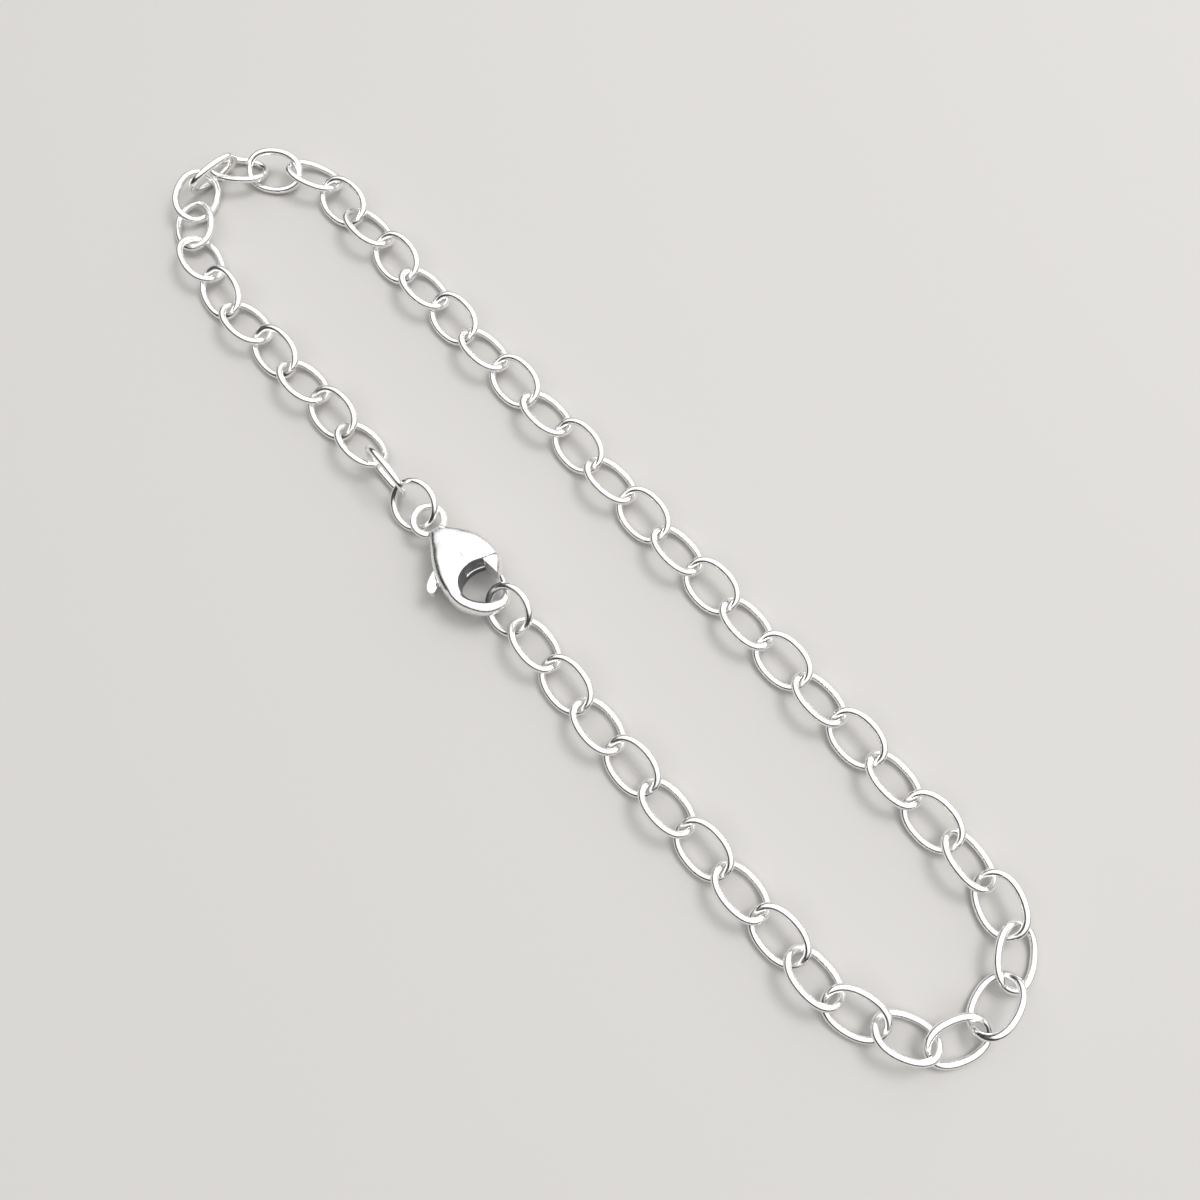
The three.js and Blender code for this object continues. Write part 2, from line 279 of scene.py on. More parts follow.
class StudioStage(bpy.types.PropertyGroup):
    floor_colour: FloatVectorProperty(
        name="Floor", description="Colour of the plain floor",
        default=(0.5, 0.485, 0.465), size=3, min=0, max=1, subtype="COLOR",
    )
    key_power: FloatProperty(
        name="Key light", description="Power of the soft light", default=1.8, min=0, unit="POWER",
    )
    dome: FloatProperty(
        name="Dome", description="Brightness of the light tent overhead", default=1.25, min=0,
    )
    dim: FloatProperty(
        name="Dim band", description="Brightness of the room low down round the stage",
        default=0.04, min=0,
    )
    backdrop: FloatProperty(
        name="Backdrop", description="Brightness of the plain backdrop behind the floor",
        default=0.8, min=0,
    )
    elevation: FloatProperty(
        name="Camera elevation", description="Angle of the camera above the surface",
        default=math.radians(73), subtype="ANGLE", unit="ROTATION",
    )
    azimuth: FloatProperty(
        name="Camera azimuth", description="Turn of the camera round the object; 0 looks along +Y",
        default=math.radians(46), subtype="ANGLE", unit="ROTATION",
    )
    distance: FloatProperty(
        name="Camera distance", description="From the camera to the point that it looks at",
        default=78.8 * MM, precision=4, subtype="DISTANCE", unit="LENGTH",
    )
    view_angle: FloatProperty(
        name="View angle", description="Field of view", default=math.radians(59.5), subtype="ANGLE",
        unit="ROTATION",
    )
    look_at: FloatVectorProperty(
        name="Look at", description="Point on the surface in the middle of the picture",
        default=(5.2325 * MM, -0.1657 * MM, 0.0), size=3, precision=5, subtype="XYZ", unit="LENGTH",
    )


# --------------------------------------------------------------------------------------------
# Node tree helpers
# --------------------------------------------------------------------------------------------


def add_node(tree, kind, inputs=(), **settings):
    """A node with its settings, and inputs as {socket: value, or the output that feeds it}."""
    node = tree.nodes.new(kind)
    for name, value in settings.items():
        setattr(node, name, value)
    for key, value in dict(inputs).items():
        if isinstance(value, bpy.types.NodeSocket):
            tree.links.new(value, node.inputs[key])
        else:
            node.inputs[key].default_value = value
    return node


def maths(tree, operation, a, b=0.0):
    """One sum on numbers, each a value or the output that feeds it."""
    return add_node(tree, "ShaderNodeMath", {0: a, 1: b}, operation=operation).outputs[0]


def vector_maths(tree, operation, a, b=(0.0, 0.0, 0.0)):
    """One sum on vectors, each a value or the output that feeds it."""
    return add_node(tree, "ShaderNodeVectorMath", {0: a, 1: b}, operation=operation).outputs[0]


def new_tree(name, kind, inputs, outputs):
    """An empty node group with named sockets: (name, type, default) in, (name, type) out."""
    tree = bpy.data.node_groups.new(name, kind)
    for label, socket, default in inputs:
        made = tree.interface.new_socket(label, in_out="INPUT", socket_type=socket)
        if default is not None:
            made.default_value = default
    for label, socket in outputs:
        tree.interface.new_socket(label, in_out="OUTPUT", socket_type=socket)
    return tree, tree.nodes.new("NodeGroupInput").outputs, tree.nodes.new("NodeGroupOutput").inputs


# --------------------------------------------------------------------------------------------
# Wire ovals: the links and the jump rings
# --------------------------------------------------------------------------------------------


def stored(tree, geometry, name, value):
    """The geometry, with a vector kept on each of its points under a name."""
    return add_node(
        tree, "GeometryNodeStoreNamedAttribute",
        {"Geometry": geometry, "Name": name, "Value": value},
        data_type="FLOAT_VECTOR", domain="POINT",
    ).outputs["Geometry"]


def wire_oval_tree():
    """Tree: a closed oval of round wire on each point, turned to the axes that the point holds."""
    tree, given, result = new_tree(
        "Soldered wire ovals", "GeometryNodeTree",
        (
            ("Places", "NodeSocketGeometry", None),
            ("Length", "NodeSocketFloat", 0.005),
            ("Width", "NodeSocketFloat", 0.004),
            ("Wire", "NodeSocketFloat", 0.0005),
            ("Squareness", "NodeSocketFloat", 2.0),
            ("Segments", "NodeSocketInt", 72),
            ("Sides", "NodeSocketInt", 18),
            ("Finish", "NodeSocketMaterial", None),
        ),
        (("Ovals", "NodeSocketGeometry"),),
    )
    circle = add_node(
        tree, "GeometryNodeCurvePrimitiveCircle",
        {"Resolution": given["Segments"], "Radius": 1.0}, mode="RADIUS",
    )
    turn = tree.nodes.new("GeometryNodeInputPosition").outputs[0]
    line = stored(tree, circle.outputs["Curve"], "wire_turn", turn)

    parts = add_node(tree, "ShaderNodeSeparateXYZ", {0: turn}).outputs
    powers = [
        maths(tree, "POWER", maths(tree, "ABSOLUTE", parts[i]), given["Squareness"]) for i in (0, 1)
    ]
    total = maths(tree, "ADD", *powers)
    reach = maths(tree, "POWER", total, maths(tree, "DIVIDE", -1.0, given["Squareness"]))
    halves = [
        maths(tree, "MULTIPLY", maths(tree, "SUBTRACT", given[side], given["Wire"]), 0.5)
        for side in ("Length", "Width")
    ]
    drawn = [
        maths(tree, "MULTIPLY", maths(tree, "MULTIPLY", parts[i], reach), halves[i]) for i in (0, 1)
    ]
    oval_point = add_node(tree, "ShaderNodeCombineXYZ", {0: drawn[0], 1: drawn[1], 2: 0.0})
    oval = add_node(
        tree, "GeometryNodeSetPosition", {"Geometry": line, "Position": oval_point.outputs[0]},
    )

    section = add_node(
        tree, "GeometryNodeCurvePrimitiveCircle",
        {"Resolution": given["Sides"], "Radius": maths(tree, "MULTIPLY", given["Wire"], 0.5)},
        mode="RADIUS",
    )
    round_at = vector_maths(tree, "NORMALIZE", turn)
    rim = stored(tree, section.outputs["Curve"], "wire_round", round_at)
    wire = add_node(
        tree, "GeometryNodeCurveToMesh",
        {"Curve": oval.outputs["Geometry"], "Profile Curve": rim, "Fill Caps": False},
    )
    smooth = add_node(tree, "GeometryNodeSetShadeSmooth", {"Geometry": wire.outputs["Mesh"]})

    along, facing = (
        add_node(tree, "GeometryNodeInputNamedAttribute", {"Name": name}, data_type="FLOAT_VECTOR")
        for name in ("long_axis", "face_axis")
    )
    turned = add_node(
        tree, "FunctionNodeAxesToRotation",
        {"Primary Axis": along.outputs["Attribute"], "Secondary Axis": facing.outputs["Attribute"]},
        primary_axis="X", secondary_axis="Z",
    )
    placed = add_node(
        tree, "GeometryNodeInstanceOnPoints",
        {
            "Points": given["Places"],
            "Instance": smooth.outputs["Geometry"],
            "Rotation": turned.outputs["Rotation"],
        },
    )
    real = add_node(tree, "GeometryNodeRealizeInstances", {"Geometry": placed.outputs["Instances"]})
    finished = add_node(
        tree, "GeometryNodeSetMaterial",
        {"Geometry": real.outputs["Geometry"], "Material": given["Finish"]},
    )
    tree.links.new(finished.outputs["Geometry"], result["Ovals"])
    return tree


def node_points(name):
    """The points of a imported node, a row for each."""
    mesh = frame["nodes"][name].data
    found = np.empty(len(mesh.vertices) * 3, np.float32)
    mesh.vertices.foreach_get("co", found)
    return found.reshape(-1, 3).astype(float)


def lie_of(name):
    """Centre, long axis and face axis of a packed oval, read from its own points."""
    points = node_points(name)
    centre = points.mean(axis=0)
    axes = np.linalg.eigh(np.cov((points - centre).T))[1].T
    face, _, along = axes
    face = face * (1.0 if face[2] >= 0 else -1.0)
    return centre, along, face


def extent(name, axis):
    """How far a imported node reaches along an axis, from end to end."""
    along = node_points(name) @ axis
    return float(along.max() - along.min())


def places_object(name, lies):
    """A mesh of bare points, one for each oval, that holds its axes and a number of its own."""
    mesh = bpy.data.meshes.new(name)
    mesh.from_pydata([tuple(lie["centre"]) for lie in lies], [], [])
    for key in ("long_axis", "face_axis"):
        layer = mesh.attributes.new(key, "FLOAT_VECTOR", "POINT")
        layer.data.foreach_set("vector", np.array([lie[key] for lie in lies]).ravel())
    own = mesh.attributes.new("own_number", "FLOAT", "POINT")
    own.data.foreach_set("value", [lie["own_number"] for lie in lies])
    made = bpy.data.objects.new(name, mesh)
    bpy.context.scene.collection.objects.link(made)
    return made


def wire_piece(name, lies, sizes, nodes, finish):
    """The ovals of one piece, grown by the tree and kept as a plain mesh on the bracelet's body."""
    tree = bpy.data.node_groups.get("Soldered wire ovals") or wire_oval_tree()
    piece = places_object(name, lies)
    grow = piece.modifiers.new("Ovals", "NODES")
    grow.node_group = tree
    values = {**sizes, "Finish": finish}
    for item in tree.interface.items_tree:
        if item.in_out == "INPUT" and item.name in values:
            grow[item.identifier] = values[item.name]
    keep_as_mesh(piece)
    return settle(piece, "bracelet", nodes)


# --------------------------------------------------------------------------------------------
# Mesh helpers
# --------------------------------------------------------------------------------------------


def keep_as_mesh(piece):
    """Turns what the modifiers make into the object's own mesh, and removes them."""
    evaluated = piece.evaluated_get(bpy.context.evaluated_depsgraph_get())
    mesh = bpy.data.meshes.new_from_object(evaluated)
    old = piece.data
    piece.modifiers.clear()
    piece.data = mesh
    mesh.name = piece.name
    bpy.data.meshes.remove(old)


def settle(piece, body, nodes):
    """Puts a finished piece on its body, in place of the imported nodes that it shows."""
    if len(piece.data.polygons) == 0:
        raise RuntimeError(f"{piece.name} came out empty")
    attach(piece, body)
    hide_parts(*nodes)
    return piece


def solid(name, vertices, faces):
    """An object with a mesh of the given points and faces."""
    mesh = bpy.data.meshes.new(name)
    mesh.from_pydata([tuple(v) for v in vertices], [], faces)
    mesh.validate()
    made = bpy.data.objects.new(name, mesh)
    bpy.context.scene.collection.objects.link(made)
    return made


def through(rows, steps):
    """Rows of numbers joined by a smooth curve: Catmull-Rom, with steps between neighbouring rows."""
    rows = np.array(rows, float)
    padded = np.vstack([2 * rows[0] - rows[1], rows, 2 * rows[-1] - rows[-2]])
    found = []
    for i in range(len(rows) - 1):
        before, a, b, after = padded[i:i + 4]
        for t in np.arange(steps) / steps:
            found.append(
                a
                + 0.5 * t * (b - before)
                + t * t * (before - 2.5 * a + 2 * b - 0.5 * after)
                + 0.5 * t ** 3 * (3 * a - 3 * b + after - before)
            )
    return np.array(found + [rows[-1]])


def square(half):
    """The corners of a level square round the origin, anticlockwise."""
    return (-half, -half), (half, -half), (half, half), (-half, half)


def bands(rings, sides, closed=False):
    """Faces between neighbouring rings of points; closed also joins the last ring to the first."""
    return [
        (
            i * sides + j,
            (i + 1) % rings * sides + j,
            (i + 1) % rings * sides + (j + 1) % sides,
            i * sides + (j + 1) % sides,
        )
        for i in range(rings if closed else rings - 1)
        for j in range(sides)
    ]


def loft(name, centres, acrosses, widths, halves, squareness, sides=64):
    """A closed bar through sections that stand upright, each a rounded rectangle, with flat ends."""
    angles = np.arange(sides) * 2 * math.pi / sides
    side, up = np.cos(angles), np.sin(angles)
    reach = (np.abs(side) ** squareness + np.abs(up) ** squareness) ** (-1 / squareness)
    vertices = [
        centre + across * s * r * width / 2 + np.array((0, 0, u * r * half))
        for centre, across, width, half in zip(centres, acrosses, widths, halves)
        for s, u, r in zip(side, up, reach)
    ]
    last = (len(centres) - 1) * sides
    ends = [tuple(range(sides)), tuple(range(last + sides - 1, last - 1, -1))]
    return solid(name, vertices, bands(len(centres), sides) + ends)


def prism(name, outline, low, high):
    """An upright plate with the given outline, which runs clockwise or anticlockwise."""
    outline = np.array(outline, float)
    ahead = np.roll(outline, -1, axis=0)
    if np.sum(outline[:, 0] * ahead[:, 1] - ahead[:, 0] * outline[:, 1]) < 0:
        outline = outline[::-1]
    count = len(outline)
    vertices = [(x, y, z) for z in (low, high) for x, y in outline]
    faces = [(i, (i + 1) % count, count + (i + 1) % count, count + i) for i in range(count)]
    faces += [tuple(range(count - 1, -1, -1)), tuple(range(count, 2 * count))]
    return solid(name, vertices, faces)


def disc(name, x, y, radius, low, high, segments=64):
    """An upright round plate."""
    angles = np.arange(segments) * 2 * math.pi / segments
    outline = np.stack([x + radius * np.cos(angles), y + radius * np.sin(angles)], axis=1)
    return prism(name, outline, low, high)


def torus(name, radius, wire, height, segments=96, sides=32):
    """A level ring of round wire, round the origin."""
    turns = np.arange(segments) * 2 * math.pi / segments
    rounds = np.arange(sides) * 2 * math.pi / sides
    vertices = [
        (
            (radius + wire / 2 * math.cos(r)) * math.cos(t),
            (radius + wire / 2 * math.cos(r)) * math.sin(t),
            height + wire / 2 * math.sin(r),
        )
        for t in turns
        for r in rounds
    ]
    return solid(name, vertices, bands(segments, sides, closed=True))


def lathed(name, x, y, profile, segments=64):
    """A solid turned round an upright axis; its profile of radius and height starts and ends there."""
    angles = [2 * math.pi * k / segments for k in range(segments)]
    vertices = [(x + r * math.cos(a), y + r * math.sin(a), z) for r, z in profile[1:-1] for a in angles]
    rings = len(profile) - 2
    faces = bands(rings, segments)
    last, head, foot = (rings - 1) * segments, rings * segments, rings * segments + 1
    vertices += [(x, y, profile[0][1]), (x, y, profile[-1][1])]
    for k in range(segments):
        ahead = (k + 1) % segments
        faces += [(head, k, ahead), (foot, last + ahead, last + k)]
    return solid(name, vertices, faces)


def combine(target, operation, *tools):
    """Joins tools to the target, or cuts them from it, and removes them."""
    for tool in tools:
        change = target.modifiers.new(operation.title(), "BOOLEAN")
        change.operation = operation
        change.solver = "EXACT"
        change.object = tool
    keep_as_mesh(target)
    for tool in tools:
        mesh = tool.data
        bpy.data.objects.remove(tool)
        bpy.data.meshes.remove(mesh)
    return target


def soften(piece, step, passes):
    """Gives the whole surface facets of one size, and rounds its edges as tumbling does."""
    even = piece.modifiers.new("Even facets", "REMESH")
    even.mode = "VOXEL"
    even.voxel_size = step
    even.use_smooth_shade = True
    rounding = piece.modifiers.new("Rounded edges", "SMOOTH")
    rounding.factor = 0.5
    rounding.iterations = passes
    keep_as_mesh(piece)


def pear(name):
    """The clasp's pear-shaped body, before anything is cut from it."""
    rows = through(BODY_SECTIONS, SECTION_STEPS)
    centres = np.stack([rows[:, 0], (rows[:, 1] + rows[:, 2]) / 2, np.full(len(rows), MIDDLE)], axis=1)
    acrosses = np.tile((0.0, 1.0, 0.0), (len(rows), 1))
    return loft(name, centres, acrosses, rows[:, 2] - rows[:, 1], rows[:, 3], BODY_SQUARENESS)


def mark_rough_painted_shade(mesh, middle, reach, steep_only):
    """Marks where shade is painted round an upright axis, with added roughness: the whole surface, or its
    steep walls.
    """
    count = len(mesh.vertices)
    points, normals = np.empty(count * 3, np.float32), np.empty(count * 3, np.float32)
    mesh.vertices.foreach_get("co", points)
    mesh.vertex_normals.foreach_get("vector", normals)
    away = np.linalg.norm(points.reshape(-1, 3)[:, :2] - np.array(middle), axis=1)
    marked = np.clip((reach - away) / PAINTED_SHADE_FADE, 0, 1)
    if steep_only:
        steep = 1 - np.abs(normals.reshape(-1, 3)[:, 2])
        marked = marked * np.clip((steep - STEEP_FROM) / STEEP_RANGE, 0, 1)
    layer = mesh.attributes.new("unpolished", "FLOAT", "POINT")
    layer.data.foreach_set("value", marked.astype(np.float32))


def clasp_place(shape):
    """From the clasp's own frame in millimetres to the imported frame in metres."""
    turn = Matrix.Rotation(shape.heading, 4, "Z")
    rivet = Vector((HINGE["pos_m"][0], HINGE["pos_m"][1], 0.0))
    return Matrix.Translation(rivet) @ turn @ Matrix.Scale(MM, 4) @ Matrix.Translation(
        (-RIVET_AT[0], -RIVET_AT[1], 0.0)
    )


# --------------------------------------------------------------------------------------------
# Silver
# --------------------------------------------------------------------------------------------


def scratches_group():
    """Fine handling scratches: long thin lines in three directions, from coordinates in millimetres."""
    tree, given, result = new_tree(
        "Handling scratches", "ShaderNodeTree",
        (
            ("Coordinates", "NodeSocketVector", None),
            ("Spacing", "NodeSocketFloat", 0.6),
            ("Width", "NodeSocketFloat", 0.02),
        ),
        (("Scratch", "NodeSocketFloat"),),
    )
    layers = []
    for turn, squeeze in SCRATCH_RUNS:
        turned = add_node(
            tree, "ShaderNodeVectorRotate", {"Vector": given["Coordinates"], "Rotation": turn},
            rotation_type="EULER_XYZ",
        )
        scale = add_node(tree, "ShaderNodeCombineXYZ", {0: squeeze, 1: 1.0, 2: 1.0})
        laid = vector_maths(tree, "MULTIPLY", turned.outputs[0], scale.outputs[0])
        noise = add_node(
            tree, "ShaderNodeTexNoise",
            {"Vector": laid, "Scale": maths(tree, "DIVIDE", 2.0, given["Spacing"]), "Detail": 3.0},
        )
        off = maths(tree, "ABSOLUTE", maths(tree, "SUBTRACT", noise.outputs["Fac"], 0.5))
        line = add_node(
            tree, "ShaderNodeMapRange",
            {"Value": off, "From Min": 0.0, "From Max": given["Width"], "To Min": 1.0, "To Max": 0.0},
        )
        layers.append(line.outputs[0])
    both = maths(tree, "MAXIMUM", layers[0], layers[1])
    tree.links.new(maths(tree, "MAXIMUM", both, layers[2]), result["Scratch"])
    return tree


def toning_group():
    """Faint tarnish that has begun in soft patches, from coordinates in millimetres."""
    tree, given, result = new_tree(
        "Faint toning", "ShaderNodeTree",
        (
            ("Coordinates", "NodeSocketVector", None),
            ("Patch", "NodeSocketFloat", 3.0),
            ("Amount", "NodeSocketFloat", 0.3),
        ),
        (("Toning", "NodeSocketFloat"),),
    )
    noise = add_node(
        tree, "ShaderNodeTexNoise",
        {
            "Vector": given["Coordinates"],
            "Scale": maths(tree, "DIVIDE", 1.0, given["Patch"]),
            "Detail": 4.0,
            "Roughness": 0.6,
        },
    )
    patch = add_node(
        tree, "ShaderNodeMapRange", {"Value": noise.outputs["Fac"], "From Min": 0.42, "From Max": 0.72},
    )
    tree.links.new(maths(tree, "MULTIPLY", patch.outputs[0], given["Amount"]), result["Toning"])
    return tree


def attribute(tree, name, output="Fac"):
    """What the piece keeps under a name on each of its points."""
    node = add_node(tree, "ShaderNodeAttribute", attribute_type="GEOMETRY", attribute_name=name)
    return node.outputs[output]


def drawn_wire_group():
    """Draw marks along a wire, the faint seam where it is soldered shut, and each oval's own wear."""
    tree, given, result = new_tree(
        "Drawn wire", "ShaderNodeTree",
        (
            ("Marks", "NodeSocketFloat", 14.0),
            ("Mark depth", "NodeSocketFloat", 0.0012),
            ("Seam place", "NodeSocketFloat", 0.12),
            ("Seam width", "NodeSocketFloat", 0.04),
            ("Seam depth", "NodeSocketFloat", 0.004),
            ("Least wear", "NodeSocketFloat", 0.5),
        ),
        (("Height", "NodeSocketFloat"), ("Seam", "NodeSocketFloat"), ("Wear", "NodeSocketFloat")),
    )
    turn, rounding = (attribute(tree, name, "Vector") for name in ("wire_turn", "wire_round"))
    slow = vector_maths(tree, "MULTIPLY", turn, DRAW_DRIFT)
    flow = vector_maths(tree, "ADD", rounding, slow)
    marks = add_node(
        tree, "ShaderNodeTexNoise", {"Vector": flow, "Scale": given["Marks"], "Detail": 2.0},
    )
    parts = add_node(tree, "ShaderNodeSeparateXYZ", {0: turn}).outputs
    side = maths(tree, "GREATER_THAN", parts[1], 0.0)
    from_seam = maths(tree, "ABSOLUTE", maths(tree, "SUBTRACT", parts[0], given["Seam place"]))
    line = add_node(
        tree, "ShaderNodeMapRange",
        {
            "Value": from_seam, "From Min": 0.0, "From Max": given["Seam width"],
            "To Min": 1.0, "To Max": 0.0,
        },
    )
    seam = maths(tree, "MULTIPLY", line.outputs[0], side)
    drawn = maths(tree, "MULTIPLY", marks.outputs["Fac"], given["Mark depth"])
    sunk = maths(tree, "MULTIPLY", seam, given["Seam depth"])
    own = add_node(
        tree, "ShaderNodeTexWhiteNoise", {"W": attribute(tree, "own_number")}, noise_dimensions="1D",
    )
    tree.links.new(maths(tree, "SUBTRACT", drawn, sunk), result["Height"])
    tree.links.new(seam, result["Seam"])
    tree.links.new(maths(tree, "ADD", own.outputs["Value"], given["Least wear"]), result["Wear"])
    return tree


def cast_surface_group():
    """The slow ripple of a polished casting, and the recesses marked for painted shade and added
    roughness.
    """
    tree, given, result = new_tree(
        "Cast surface", "ShaderNodeTree",
        (
            ("Coordinates", "NodeSocketVector", None),
            ("Ripples", "NodeSocketFloat", 0.9),
            ("Ripple height", "NodeSocketFloat", 0.003),
        ),
        (("Height", "NodeSocketFloat"), ("Recess", "NodeSocketFloat")),
    )
    wave = add_node(
        tree, "ShaderNodeTexNoise",
        {"Vector": given["Coordinates"], "Scale": given["Ripples"], "Detail": 1.0},
    )
    tree.links.new(maths(tree, "MULTIPLY", wave.outputs["Fac"], given["Ripple height"]), result["Height"])
    tree.links.new(attribute(tree, "unpolished"), result["Recess"])
    return tree


EFFECTS = {
    "Handling scratches": scratches_group,
    "Faint toning": toning_group,
    "Drawn wire": drawn_wire_group,
    "Cast surface": cast_surface_group,
}


def effect(tree, name, inputs=()):
    """Places a shared effect in a material, with its own values, and builds its group if it is new."""
    group = bpy.data.node_groups.get(name) or EFFECTS[name]()
    return add_node(tree, "ShaderNodeGroup", inputs, node_tree=group).outputs


def mixed(tree, factor, first, second):
    """A colour between two, each a value or the output that feeds it."""
    mix = add_node(tree, "ShaderNodeMix", {"Factor": factor, "A": first, "B": second}, data_type="RGBA")
    return mix.outputs["Result"]


def silver(name, patch, toning, scratch_depth, wire=False, ripple=0.0, dulling=0.0):
    """Polished silver, sizes in millimetres: wire for the ovals, a ripple for castings, whose marked
    recesses get painted shade.
    """
    if name in bpy.data.materials:
        return bpy.data.materials[name]
    finish = bpy.context.scene.bracelet_silver
    material = bpy.data.materials.new(name)
    material.use_nodes = True
    tree = material.node_tree
    place = add_node(tree, "ShaderNodeTexCoord").outputs["Object"]
    in_mm = vector_maths(tree, "MULTIPLY", place, (1 / MM, 1 / MM, 1 / MM))

    scratch = effect(tree, "Handling scratches", {"Coordinates": in_mm})["Scratch"]
    patches = {"Coordinates": in_mm, "Patch": patch, "Amount": toning}
    toned = effect(tree, "Faint toning", patches)["Toning"]
    height = maths(tree, "MULTIPLY", scratch, -scratch_depth)
    if wire:
        drawn = effect(tree, "Drawn wire")
        height = maths(tree, "ADD", height, drawn["Height"])
        toned = maths(tree, "MULTIPLY", toned, drawn["Wear"])
        toned = maths(tree, "MAXIMUM", toned, maths(tree, "MULTIPLY", drawn["Seam"], JOINT_TONING))
    colour = mixed(tree, toned, (*finish.bright, 1.0), (*finish.toned, 1.0))
    rough = maths(tree, "ADD", finish.polish + dulling, maths(tree, "MULTIPLY", toned, TONED_ROUGHNESS))
    if ripple:
        cast = effect(tree, "Cast surface", {"Coordinates": in_mm, "Ripple height": ripple})
        height = maths(tree, "ADD", height, cast["Height"])
        # Painted shade: the colour is darkened towards the dark silver on the marked recesses, for the
        # shade that falls in them; the roughness added next is a rougher finish there.
        colour = mixed(tree, cast["Recess"], colour, (*finish.dark, 1.0))
        rough = maths(tree, "ADD", rough, maths(tree, "MULTIPLY", cast["Recess"], RECESS_ROUGHNESS))
    rough = maths(tree, "ADD", rough, maths(tree, "MULTIPLY", scratch, SCRATCHED_ROUGHNESS))
    bump = add_node(tree, "ShaderNodeBump", {"Height": height, "Distance": MM, "Strength": 1.0})

    shader = tree.nodes["Principled BSDF"]
    shader.inputs["Metallic"].default_value = 1.0
    tree.links.new(colour, shader.inputs["Base Color"])
    tree.links.new(rough, shader.inputs["Roughness"])
    tree.links.new(bump.outputs["Normal"], shader.inputs["Normal"])
    return material


# --------------------------------------------------------------------------------------------
# Pieces
# --------------------------------------------------------------------------------------------


class BRACELET_OT_links(bpy.types.Operator):
    """Grow the 49 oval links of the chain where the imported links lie"""

    bl_idname = "bracelet.links"
    bl_label = "Chain links"

    def execute(self, context):
        wire = context.scene.bracelet_wire
        flips = np.random.default_rng(JOINT_SEED).choice((-1.0, 1.0), len(LINK_NODES))
        lies = []
        for number, (node, flip) in enumerate(zip(LINK_NODES, flips)):
            centre, along, face = lie_of(node)
            onwards = 1.0 if np.cross((0, 0, 1), centre) @ along >= 0 else -1.0
            lies.append({
                "centre": centre, "long_axis": along * onwards * flip, "face_axis": face,
                "own_number": float(number),
            })
        first = LINK_NODES[0]
        _, along, face = lie_of(first)
        sizes = {
            "Length": extent(first, along),
            "Width": extent(first, np.cross(face, along)),
            "Wire": wire.gauge,
            "Squareness": wire.squareness,
            "Segments": wire.around,
            "Sides": wire.sides,
        }
        finish = silver("Link silver", patch=9.0, toning=0.25, scratch_depth=0.0006, wire=True)
        wire_piece("chain_links", lies, sizes, LINK_NODES, finish)
        return {"FINISHED"}


class BRACELET_OT_jump_rings(bpy.types.Operator):
    """Grow the round jump ring at each end of the chain"""

    bl_idname = "bracelet.jump_rings"
    bl_label = "Jump rings"

    def execute(self, context):
        wire = context.scene.bracelet_wire
        finish = silver("Ring silver", patch=5.0, toning=0.3, scratch_depth=0.0008, wire=True)
        for node, gauge in (("tail_jump_ring", wire.tail_gauge), ("end_jump_ring", wire.end_gauge)):
            centre, _, face = lie_of(node)
            rise = np.array((0.0, 0.0, 1.0)) - face * face[2]
            rise /= np.linalg.norm(rise)
            sideways = np.cross(face, rise)
            across = extent(node, sideways)
            lies = [{"centre": centre, "long_axis": sideways, "face_axis": face, "own_number": 0.0}]
            sizes = {
                "Length": across, "Width": across, "Wire": gauge, "Squareness": 2.0,
                "Segments": wire.ring_around, "Sides": wire.ring_sides,
            }
            name = node.replace("jump_ring", "ring_wire")
            wire_piece(name, lies, sizes, [node], finish)
        return {"FINISHED"}


class BRACELET_OT_clasp_body(bpy.types.Operator):
    """Shape the clasp's casting: bail, slotted pear-shaped body and hook"""

    bl_idname = "bracelet.clasp_body"
    bl_label = "Clasp body"

    def execute(self, context):
        shape = context.scene.bracelet_clasp
        body = pear("clasp_casting")
        eye = np.vstack([through(EYE_WALL, WALL_STEPS), EYE_MOUTH])
        combine(body, "DIFFERENCE", prism("eye", eye, *RIGHT_THROUGH))

        rows = through(HOOK_SECTIONS, SECTION_STEPS)
        ahead = np.gradient(rows[:, :2], axis=0)
        sideways = np.stack([-ahead[:, 1], ahead[:, 0], np.zeros(len(rows))], axis=1)
        sideways /= np.linalg.norm(sideways, axis=1, keepdims=True)
        hook = loft("hook", rows[:, :3], -sideways, rows[:, 3], rows[:, 4], HOOK_SQUARENESS)
        bail = torus("bail", shape.bail_radius, shape.bail_wire, MIDDLE)
        combine(body, "UNION", hook, bail)
        soften(body, shape.grain, shape.blending)

        low, high = shape.slot_low, shape.slot_high
        combine(
            body, "DIFFERENCE",
            prism("slot_gate", SLOT_GATE, low, high),
            prism("slot_thumb", SLOT_THUMB, low, high),
            disc("slot_hub", *RIVET_AT, SLOT_HUB, low, high),
            prism("ground", square(GROUND_BLOCK), -GROUND_BLOCK / 2, 0),
        )
        soften(body, shape.grain, shape.softening)
        combine(body, "DIFFERENCE", disc("rivet_hole", *RIVET_AT, BODY_HOLE, *RIGHT_THROUGH))
        # Painted shade: the steep walls of the eye are marked to be darkened, for the shade that falls
        # inside it.
        mark_rough_painted_shade(body.data, EYE_MIDDLE, EYE_REACH, steep_only=True)
        body.data.transform(clasp_place(shape))
        body.data.shade_smooth()
        body.data.materials.clear()
        finish = silver(
            "Cast silver", patch=4.0, toning=0.2, scratch_depth=0.0012, ripple=0.003, dulling=0.07,
        )
        body.data.materials.append(finish)
        settle(body, "bracelet", ["clasp_body"])
        return {"FINISHED"}


